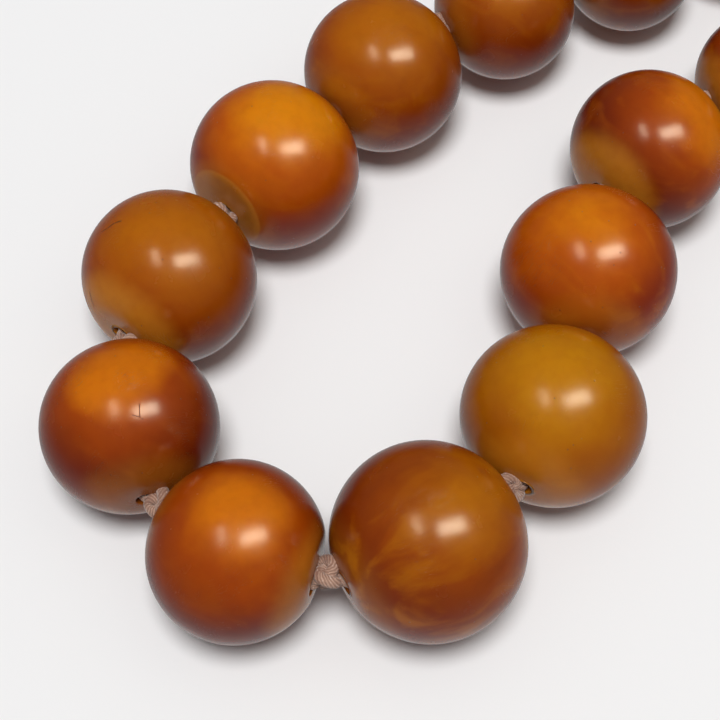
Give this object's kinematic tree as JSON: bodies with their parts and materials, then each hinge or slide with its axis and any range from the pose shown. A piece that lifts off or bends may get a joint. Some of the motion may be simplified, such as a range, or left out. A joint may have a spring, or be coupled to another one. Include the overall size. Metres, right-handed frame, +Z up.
{
  "type": "prayer beads",
  "caption": "Knotted strand of graduated round amber resin prayer beads, closed by a leader bead with a silk tassel.",
  "frame": {"origin": "middle of the floor area that the strand covers, on the surface it lies on", "axes": "+Z up out of the surface; +Y along the strand from its bend to its tassel; +X to the right"},
  "size_m": [0.1044, 0.4332, 0.028],
  "materials": {
    "bead_resin": "gloss",
    "leader_resin": "gloss",
    "silk_cord": "satin",
    "tassel_thread": "satin"
  },
  "bodies": {
    "bend": {"cord_bend": "silk_cord"},
    "left_1": {"cord_left_1": "silk_cord"},
    "left_2": {"cord_left_2": "silk_cord"},
    "left_3": {"cord_left_3": "silk_cord"},
    "left_4": {"cord_left_4": "silk_cord"},
    "right_1": {"cord_right_1": "silk_cord"},
    "right_2": {"cord_right_2": "silk_cord"},
    "right_3": {"cord_right_3": "silk_cord"},
    "right_4": {"cord_right_4": "silk_cord"},
    "end": {"cord_end": "silk_cord"},
    "leader": {"leader_bead": "leader_resin"},
    "tassel_neck": {"tassel_cord": "silk_cord"},
    "tassel": {"tassel_head": "tassel_thread", "tassel_binding": "silk_cord", "tassel_skirt": "tassel_thread"},
    "bead_01": {"bead_01": "bead_resin"},
    "bead_02": {"bead_02": "bead_resin"},
    "bead_03": {"bead_03": "bead_resin"},
    "bead_04": {"bead_04": "bead_resin"},
    "bead_05": {"bead_05": "bead_resin"},
    "bead_06": {"bead_06": "bead_resin"},
    "bead_07": {"bead_07": "bead_resin"},
    "bead_08": {"bead_08": "bead_resin"},
    "bead_09": {"bead_09": "bead_resin"},
    "bead_10": {"bead_10": "bead_resin"},
    "bead_11": {"bead_11": "bead_resin"},
    "bead_12": {"bead_12": "bead_resin"},
    "bead_13": {"bead_13": "bead_resin"},
    "bead_14": {"bead_14": "bead_resin"},
    "bead_15": {"bead_15": "bead_resin"},
    "bead_16": {"bead_16": "bead_resin"},
    "bead_17": {"bead_17": "bead_resin"},
    "bead_18": {"bead_18": "bead_resin"},
    "bead_19": {"bead_19": "bead_resin"},
    "bead_20": {"bead_20": "bead_resin"},
    "bead_21": {"bead_21": "bead_resin"},
    "bead_22": {"bead_22": "bead_resin"},
    "bead_23": {"bead_23": "bead_resin"},
    "bead_24": {"bead_24": "bead_resin"},
    "bead_25": {"bead_25": "bead_resin"},
    "bead_26": {"bead_26": "bead_resin"},
    "bead_27": {"bead_27": "bead_resin"},
    "bead_28": {"bead_28": "bead_resin"},
    "bead_29": {"bead_29": "bead_resin"},
    "bead_30": {"bead_30": "bead_resin"},
    "bead_31": {"bead_31": "bead_resin"},
    "bead_32": {"bead_32": "bead_resin"},
    "bead_33": {"bead_33": "bead_resin"}
  },
  "joints": [
    {"name": "loop_sway", "type": "hinge", "parent": "bend", "child": "left_1", "pos_m": [-0.04111, -0.13209, 0.0125], "axis": [0, 0, 1], "range_deg": [-7, 15]},
    {"name": "loop_spread", "type": "hinge", "parent": "left_1", "child": "left_2", "pos_m": [-0.04031, -0.10891, 0.01176], "axis": [0, 0, 1], "range_deg": [-1.5, 12]},
    {"name": "tassel_swing", "type": "hinge", "parent": "end", "child": "tassel_neck", "pos_m": [-0.01635, 0.14174, 0.0085], "axis": [0, 0, 1], "range_deg": [-60, 60]},
    {"name": "tassel_lift", "type": "hinge", "parent": "tassel_neck", "child": "tassel", "pos_m": [-0.01635, 0.14974, 0.0085], "axis": [1, 0, 0], "range_deg": [0, 90]},
    {"name": "left_elbow", "type": "hinge", "parent": "left_2", "child": "left_3", "pos_m": [-0.03866, -0.0287, 0.00986], "axis": [0, 0, 1], "range_deg": [-24, 3]},
    {"name": "left_shoulder", "type": "hinge", "parent": "left_3", "child": "left_4", "pos_m": [-0.03701, 0.05151, 0.00748], "axis": [0, 0, 1], "range_deg": [-1.5, 12]},
    {"name": "end_sway", "type": "hinge", "parent": "left_4", "child": "end", "pos_m": [-0.03701, 0.0652, 0.00701], "axis": [0, 0, 1], "range_deg": [-15, 7]},
    {"name": "right_sway", "type": "hinge", "parent": "bend", "child": "right_1", "pos_m": [-0.0099, -0.10204, 0.01237], "axis": [0, 0, 1], "range_deg": [-7, 15]},
    {"name": "right_hip", "type": "hinge", "parent": "right_1", "child": "right_2", "pos_m": [-0.0091, -0.07886, 0.01176], "axis": [0, 0, 1], "range_deg": [-12, 1.5]},
    {"name": "right_elbow", "type": "hinge", "parent": "right_2", "child": "right_3", "pos_m": [-0.00745, 0.00135, 0.00986], "axis": [0, 0, 1], "range_deg": [-3, 24]},
    {"name": "right_shoulder", "type": "hinge", "parent": "right_3", "child": "right_4", "pos_m": [-0.0058, 0.08155, 0.00748], "axis": [0, 0, 1], "range_deg": [-12, 1.5]},
    {"name": "leader_turn", "type": "hinge", "parent": "end", "child": "leader", "pos_m": [-0.01635, 0.12324, 0.0085], "axis": [0, 1, 0], "continuous": true},
    {"name": "bead_19_turn", "type": "hinge", "parent": "bend", "child": "bead_19", "pos_m": [0.03821, -0.17417, 0.014], "axis": [-0.0523, 0.9986, 0.0084], "continuous": true},
    {"name": "bead_18_turn", "type": "hinge", "parent": "bend", "child": "bead_18", "pos_m": [0.02792, -0.19828, 0.01355], "axis": [0.7878, 0.6155, 0.0224], "continuous": true},
    {"name": "bead_17_turn", "type": "hinge", "parent": "bend", "child": "bead_17", "pos_m": [0.00361, -0.20389, 0.01331], "axis": [0.9781, -0.2079, -0.0046], "continuous": true},
    {"name": "bead_20_turn", "type": "hinge", "parent": "bend", "child": "bead_20", "pos_m": [0.02851, -0.14949, 0.01386], "axis": [-0.6559, 0.7546, -0.0188], "continuous": true},
    {"name": "bead_16_turn", "type": "hinge", "parent": "bend", "child": "bead_16", "pos_m": [-0.01669, -0.18901, 0.01344], "axis": [0.5, -0.866, -0.0047], "continuous": true},
    {"name": "bead_21_turn", "type": "hinge", "parent": "bend", "child": "bead_21", "pos_m": [0.00927, -0.13301, 0.01338], "axis": [-0.8479, 0.5298, -0.0191], "continuous": true},
    {"name": "bead_15_turn", "type": "hinge", "parent": "bend", "child": "bead_15", "pos_m": [-0.02802, -0.16677, 0.01337], "axis": [0.4067, -0.9135, 0.01], "continuous": true},
    {"name": "bead_22_turn", "type": "hinge", "parent": "bend", "child": "bead_22", "pos_m": [-0.00609, -0.11378, 0.01274], "axis": [-0.3089, 0.9506, -0.0299], "continuous": true},
    {"name": "bead_14_turn", "type": "hinge", "parent": "bend", "child": "bead_14", "pos_m": [-0.03701, -0.144, 0.01288], "axis": [0.3254, -0.9451, 0.0305], "continuous": true},
    {"name": "bead_13_turn", "type": "hinge", "parent": "left_1", "child": "bead_13", "pos_m": [-0.04071, -0.1205, 0.01213], "axis": [-0.0349, -0.9989, 0.0318], "continuous": true},
    {"name": "bead_12_turn", "type": "hinge", "parent": "left_2", "child": "bead_12", "pos_m": [-0.0405, -0.09779, 0.01151], "axis": [0.0175, -0.9996, 0.0219], "continuous": true},
    {"name": "bead_11_turn", "type": "hinge", "parent": "left_2", "child": "bead_11", "pos_m": [-0.04051, -0.07707, 0.01105], "axis": [-0.0174, -0.9996, 0.0234], "continuous": true},
    {"name": "bead_10_turn", "type": "hinge", "parent": "left_2", "child": "bead_10", "pos_m": [-0.03982, -0.05727, 0.01057], "axis": [-0.0523, -0.9983, 0.0245], "continuous": true},
    {"name": "bead_09_turn", "type": "hinge", "parent": "left_2", "child": "bead_09", "pos_m": [-0.039, -0.03839, 0.0101], "axis": [-0.0349, -0.9991, 0.0251], "continuous": true},
    {"name": "bead_08_turn", "type": "hinge", "parent": "left_3", "child": "bead_08", "pos_m": [-0.03842, -0.01939, 0.00962], "axis": [-0.0253, -0.9993, 0.0261], "continuous": true},
    {"name": "bead_07_turn", "type": "hinge", "parent": "left_3", "child": "bead_07", "pos_m": [-0.03828, -0.00214, 0.00915], "axis": [0.0096, -0.9996, 0.0283], "continuous": true},
    {"name": "bead_06_turn", "type": "hinge", "parent": "left_3", "child": "bead_06", "pos_m": [-0.03843, 0.01419, 0.00867], "axis": [0.0096, -0.9995, 0.0299], "continuous": true},
    {"name": "bead_05_turn", "type": "hinge", "parent": "left_3", "child": "bead_05", "pos_m": [-0.03832, 0.02963, 0.0082], "axis": [-0.0253, -0.9992, 0.0317], "continuous": true},
    {"name": "bead_04_turn", "type": "hinge", "parent": "left_3", "child": "bead_04", "pos_m": [-0.03758, 0.04414, 0.00773], "axis": [-0.0776, -0.9964, 0.0329], "continuous": true},
    {"name": "bead_03_turn", "type": "hinge", "parent": "left_4", "child": "bead_03", "pos_m": [-0.03701, 0.05836, 0.00725], "axis": [0, -0.9994, 0.0347], "continuous": true},
    {"name": "bead_02_turn", "type": "hinge", "parent": "end", "child": "bead_02", "pos_m": [-0.03525, 0.07133, 0.00677], "axis": [-0.2754, -0.9606, 0.0372], "continuous": true},
    {"name": "bead_01_turn", "type": "hinge", "parent": "end", "child": "bead_01", "pos_m": [-0.0302, 0.08235, 0.00641], "axis": [-0.5591, -0.8289, 0.0201], "continuous": true},
    {"name": "bead_23_turn", "type": "hinge", "parent": "right_1", "child": "bead_23", "pos_m": [-0.0095, -0.09045, 0.01206], "axis": [0.0349, 0.999, -0.0264], "continuous": true},
    {"name": "bead_24_turn", "type": "hinge", "parent": "right_2", "child": "bead_24", "pos_m": [-0.00929, -0.06774, 0.01151], "axis": [-0.0174, 0.9996, -0.0219], "continuous": true},
    {"name": "bead_25_turn", "type": "hinge", "parent": "right_2", "child": "bead_25", "pos_m": [-0.0093, -0.04703, 0.01105], "axis": [0.0174, 0.9996, -0.0234], "continuous": true},
    {"name": "bead_26_turn", "type": "hinge", "parent": "right_2", "child": "bead_26", "pos_m": [-0.00861, -0.02723, 0.01057], "axis": [0.0523, 0.9983, -0.0245], "continuous": true},
    {"name": "bead_27_turn", "type": "hinge", "parent": "right_2", "child": "bead_27", "pos_m": [-0.00779, -0.00835, 0.0101], "axis": [0.0349, 0.9991, -0.0251], "continuous": true},
    {"name": "bead_28_turn", "type": "hinge", "parent": "right_3", "child": "bead_28", "pos_m": [-0.00721, 0.01065, 0.00962], "axis": [0.0253, 0.9993, -0.0261], "continuous": true},
    {"name": "bead_29_turn", "type": "hinge", "parent": "right_3", "child": "bead_29", "pos_m": [-0.00707, 0.02791, 0.00915], "axis": [-0.0096, 0.9996, -0.0283], "continuous": true},
    {"name": "bead_30_turn", "type": "hinge", "parent": "right_3", "child": "bead_30", "pos_m": [-0.00722, 0.04424, 0.00867], "axis": [-0.0096, 0.9995, -0.0299], "continuous": true},
    {"name": "bead_31_turn", "type": "hinge", "parent": "right_3", "child": "bead_31", "pos_m": [-0.00711, 0.05967, 0.0082], "axis": [0.0253, 0.9992, -0.0317], "continuous": true},
    {"name": "bead_32_turn", "type": "hinge", "parent": "right_3", "child": "bead_32", "pos_m": [-0.00637, 0.07419, 0.00773], "axis": [0.0776, 0.9964, -0.0329], "continuous": true},
    {"name": "bead_33_turn", "type": "hinge", "parent": "right_4", "child": "bead_33", "pos_m": [-0.0058, 0.0884, 0.00736], "axis": [0, 0.9998, -0.0173], "continuous": true}
  ],
  "couplings": [
    {"joint": "left_elbow", "follows": "loop_spread", "ratio": -2},
    {"joint": "left_shoulder", "follows": "loop_spread", "ratio": 1},
    {"joint": "end_sway", "follows": "loop_sway", "ratio": -1},
    {"joint": "right_sway", "follows": "loop_sway", "ratio": 1},
    {"joint": "right_hip", "follows": "loop_spread", "ratio": -1},
    {"joint": "right_elbow", "follows": "loop_spread", "ratio": 2},
    {"joint": "right_shoulder", "follows": "loop_spread", "ratio": -1}
  ]
}
